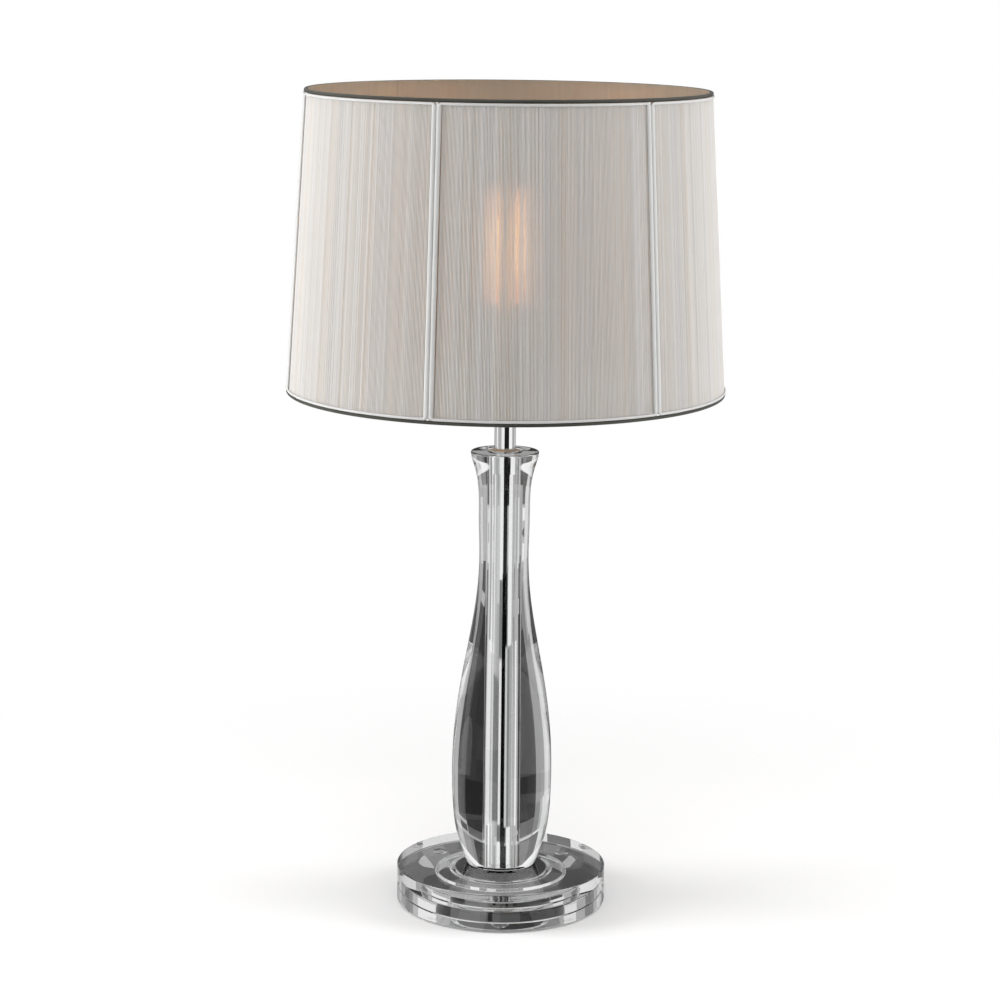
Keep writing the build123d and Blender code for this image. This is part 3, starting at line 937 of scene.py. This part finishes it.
# What metal and glass see round the lamp: white cards and black flags on the table, each with the degrees
# where it starts and ends, from the camera's side towards the right, the distances where it starts and
# ends, if it has ends, and its brightness. A later one lies over an earlier one.
ENDLESS = 99                        # metres
TABLE_LEVEL = 0.45                  # brightness between the cards
TABLE_CARDS = [
    (-166, -150, 0.34, 0.42, 0.02),
    (-166, -150, 0.42, 0.95, 0.15),
    (-150, -142, 0.34, 0.95, 0.24),
    (-142, -133, 0.34, 0.7, 0.42),
    (-170, -150, 1.1, 1.7, 0.6),
    (-147, -128, 1.1, 1.6, 0.85),
    (-166, -138, 1.7, ENDLESS, 0.1),
    (-176, -165, 0.27, 0.48, 0.03),
    (-137, -112, 0.7),
    (-166, -134, 0.15, 0.34, 0.13),
    (-150, -134, 0.272, 0.36, 0.3),
    (-166, -153, 0.285, 0.36, 0.01),
    (-128, -92, 0.2, 0.42, 0.8),
    (-120, -104, 0.42, ENDLESS, 0.38),
    (-104, -86, 0.4, ENDLESS, 1.0),
    (-86, -60, 0.38, ENDLESS, 0.55),
    (-60, -36, 0.6, ENDLESS, 0.65),
    (-88, -30, 0.1, 0.38, 0.17),
    (-68, -46, 1.7, ENDLESS, 0.42),
    (-36, -7, 0.85, ENDLESS, 0.95),
    (-36, -12, 0.4, 0.85, 0.2),
    (-30, -10, 0, 0.4, 0.9),
    (22, 40, 0, 0.42, 0.7),
    (40, 60, 0, 0.42, 0.25),
    (60, 99, 0, 0.26, 0.04),
    (99, 113, 0.235, 0.42, 0.95),
    (32, 41, 0.42, 1.1, 0.22),
    (41, 82, 0.42, ENDLESS, 1.0),
    (104, 119, 1.2, ENDLESS, 0.36),
    (119, 134, 1.0, 2.2, 0.72),
    (134, 146, 0.6, 1.1, 0.05),
    (132, 147, 0.15, 0.278, 0.75),
    (132, 147, 0.278, 0.5, 0.05),
    (147, 167, 0, 0.6, 0.012),
    (147, 167, 0.6, 1.3, 0.1),
    (147, 180, 1.3, ENDLESS, 0.35),
    (-10, 22, 0, 0.42, 0.003),
    (-10, 32, 0.42, 0.95, 0.003),
    (-7, 28, 0.9, 1.7, 0.025),
    (-7, 44, 1.7, ENDLESS, 0.012),
]
# The same, seen far away: just over the table's edge behind the lamp, higher up, and lower down.
HORIZON_CARDS = [
    (-180, -168, 0.09),
    (-168, -150, 0.2),
    (-150, -136, 0.12),
    (-136, -122, 0.7),
    (-122, -105, 0.26),
    (105, 120, 0.22),
    (120, 134, 0.5),
    (134, 147, 0.25),
    (147, 152, 0.18),
    (152, 167, 0.02),
    (167, 180, 0.07),
]
HIGH_LEVEL = 0.5
HIGH_CARDS = [
    (-180, -168, 0.25),
    (-152, -108, 0.85),
    (108, 135, 0.75),
    (135, 160, 0.4),
    (160, 180, 0.2),
]
UNDER_LEVEL = 0.3
UNDER_CARDS = [
    (-180, -169, 0.12),
    (-169, -148, 0.02),
    (-148, -105, 0.65),
    (-105, -86, 0.95),
    (-86, -54, 0.12),
    (-54, -37, 0.95),
    (-37, -24, 0.02),
    (-24, -8, 0.6),
    (-8, 40, 0.01),
    (40, 100, 0.9),
    (100, 145, 0.5),
    (145, 152, 0.22),
    (152, 176, 0.025),
    (176, 180, 0.03),
]
# Small cards far behind, seen straight through the disc: degrees, then how far down they start and end.
THROUGH_PLATE = [
    (-180, -177, 0.3, 0.335, 0.1),
    (177, 180, 0.3, 0.335, 0.07),
    (-178.15, -177.7, 0.3, 0.3205, 0.05),
    (-178.5, -178.1, 0.3, 0.3175, 0.55),
    (-178.36, -178.26, 0.3, 0.3165, 0.1),
    (-178.9, -178.5, 0.3, 0.3197, 0.22),
    (-178.9, -178.2, 0.3205, 0.335, 0.008),
    (178.25, 178.62, 0.3, 0.3165, 0.5),
    (178.4, 178.48, 0.3, 0.3165, 0.1),
    (177.7, 178.22, 0.3, 0.3197, 0.04),
    (178.2, 178.75, 0.3175, 0.324, 0.015),
    (178.85, 179.2, 0.3, 0.3197, 0.2),
]

# The backdrop's belts, by the height of the line of sight at which each blends into the one above it.
STRAIGHT_DOWN = (-0.78, -0.62)
UNDER = (-0.16, -0.14)
TABLE = (-0.03, -0.02)
HORIZON = (0.17, 0.19)
WHITE_WALL = (0.24, 0.27)
HIGH = (0.45, 0.6)
STRAIGHT_DOWN_LEVEL = 0.6
WHITE_WALL_LEVEL = 0.95
CEILING_LEVEL = 0.8
AMBIENT = 0.5                       # what matt surfaces get from all sides

FLOOR_RADIUS = 2.5
FLOOR_FADE = (0.25, 0.7)            # where the floor runs out to white for the camera
DISC_EDGE = (0.0805, 0.082)         # within it the disc's glass sees past the floor


def cards(tree, x, y, seen, placed, distance=None):
    """The cards and flags round the lamp over what is seen behind them.

    With a distance, they are seen at a place on the table. With none, only those without an end are."""
    turn = x.maths("ARCTAN2", x, -y) * (180 / pi)
    for start, end, *reach, brightness in placed:
        near, far = reach or (0, ENDLESS)
        if distance is None and far < ENDLESS:
            continue
        inside = turn.maths("GREATER_THAN", turn, start) * turn.maths("LESS_THAN", turn, end)
        if distance is not None and near > 0:
            inside = inside * distance.maths("GREATER_THAN", distance, near)
        if far < ENDLESS:
            inside = inside * distance.maths("LESS_THAN", distance, far)
        seen = tree.mix(inside, seen, grey(brightness))
    return seen


def shiny_rays(tree, rays):
    glossy = Link(tree, rays.outputs["Is Glossy Ray"])
    return (glossy + Link(tree, rays.outputs["Is Transmission Ray"])).clamp()


def studio():
    """White to the camera, even to matt surfaces, and cards and flags to metal and glass."""
    world = bpy.data.worlds.new("studio")
    bpy.context.scene.world = world
    sky = Tree(world)
    x, y, z = sky.parts(sky.value("ShaderNodeTexCoord", "Generated"))
    under = cards(sky, x, y, grey(UNDER_LEVEL), UNDER_CARDS)
    under = cards(sky, x, y, under, THROUGH_PLATE, -z)
    seen = sky.mix(z.rise(*STRAIGHT_DOWN), grey(STRAIGHT_DOWN_LEVEL), under)
    seen = sky.mix(z.rise(*UNDER), seen, cards(sky, x, y, grey(TABLE_LEVEL), TABLE_CARDS))
    seen = sky.mix(z.rise(*TABLE), seen, cards(sky, x, y, seen, HORIZON_CARDS))
    seen = sky.mix(z.rise(*HORIZON), seen, grey(WHITE_WALL_LEVEL))
    seen = sky.mix(z.rise(*WHITE_WALL), seen, cards(sky, x, y, grey(HIGH_LEVEL), HIGH_CARDS))
    seen = sky.mix(z.rise(*HIGH), seen, grey(CEILING_LEVEL))
    rays = sky.node("ShaderNodeLightPath")
    matt_or_shiny = sky.mix(shiny_rays(sky, rays), grey(AMBIENT), seen)
    colour = sky.mix(Link(sky, rays.outputs["Is Camera Ray"]), matt_or_shiny, grey(1.0))
    sky.feed(sky.nodes["Background"].inputs["Color"], colour)


def soft_box(name, place, width, height, power):
    """A soft light aimed at the middle of the lamp, which metal and glass don't see."""
    middle = Vector((0, 0, 0.4))
    data = bpy.data.lights.new(name, "AREA")
    data.shape = "RECTANGLE"
    data.size = width
    data.size_y = height
    data.energy = power
    lamp = bpy.data.objects.new(name, data)
    bpy.context.scene.collection.objects.link(lamp)
    lamp.location = place
    lamp.rotation_euler = (middle - Vector(place)).to_track_quat("-Z", "Y").to_euler()
    lamp.visible_camera = False
    lamp.visible_glossy = False
    lamp.visible_transmission = False


def floor():
    """A pale floor that keeps the lamp's shadow and runs out to white for the camera.

    Metal and glass see the cards on it, and the disc's glass sees past it what lies under the disc."""
    clear_selection()
    bpy.ops.mesh.primitive_circle_add(vertices=96, radius=FLOOR_RADIUS, fill_type="NGON")
    ground = bpy.context.active_object
    ground.name = "floor"
    paint = Finish("floor", grey(0.96), 0.8)
    x, y, z = paint.parts(paint.place)
    distance = x.maths("SQRT", x * x + y * y)
    seen = cards(paint, x, y, grey(TABLE_LEVEL), TABLE_CARDS, distance)
    rays = paint.node("ShaderNodeLightPath")
    shiny = shiny_rays(paint, rays)
    to_camera = Link(paint, rays.outputs["Is Camera Ray"])
    glow = paint.node("ShaderNodeEmission", None, {"Color": paint.mix(shiny, grey(1.0), seen)})
    lit = paint.node("ShaderNodeMixShader", None,
                     {0: (distance.rise(*FLOOR_FADE) * to_camera + shiny).clamp()})
    paint.links.new(paint.shader.outputs[0], lit.inputs[1])
    paint.links.new(glow.outputs[0], lit.inputs[2])
    beneath = 1 - distance.rise(*DISC_EDGE)
    opened = paint.node("ShaderNodeMixShader", None, {0: shiny * beneath})
    paint.links.new(lit.outputs[0], opened.inputs[1])
    paint.links.new(paint.node("ShaderNodeBsdfTransparent").outputs[0], opened.inputs[2])
    paint.links.new(opened.outputs[0], paint.output.inputs["Surface"])
    ground.data.materials.append(paint.owner)


def camera():
    """The photograph's view: from 2.07 m in front and a little above, turned a touch on its own axis."""
    data = bpy.data.cameras.new("camera")
    data.lens = 100.87
    data.sensor_width = 36.0
    data.shift_x = -0.0045
    eye = bpy.data.objects.new("camera", data)
    bpy.context.scene.collection.objects.link(eye)
    place = Matrix.Translation((0, -2.0737, 0.7225))
    pitch = Matrix.Rotation(radians(90 - 11.122), 4, "X")
    roll = Matrix.Rotation(radians(0.6), 4, "Z")
    eye.matrix_world = place @ pitch @ roll
    bpy.context.scene.camera = eye


studio()
soft_box("left_box", (-1.8, -0.15, 0.7), 1.2, 1.6, 37)
soft_box("right_box", (1.8, -0.05, 0.7), 1.2, 1.6, 27)
soft_box("top_box", (0.0, -0.9, 2.0), 1.4, 1.0, 10)
floor()
camera()
scene = bpy.context.scene
scene.view_settings.view_transform = "Standard"
scene.cycles.transparent_max_bounces = 24
scene.cycles.max_bounces = 16
scene.cycles.transmission_bounces = 16
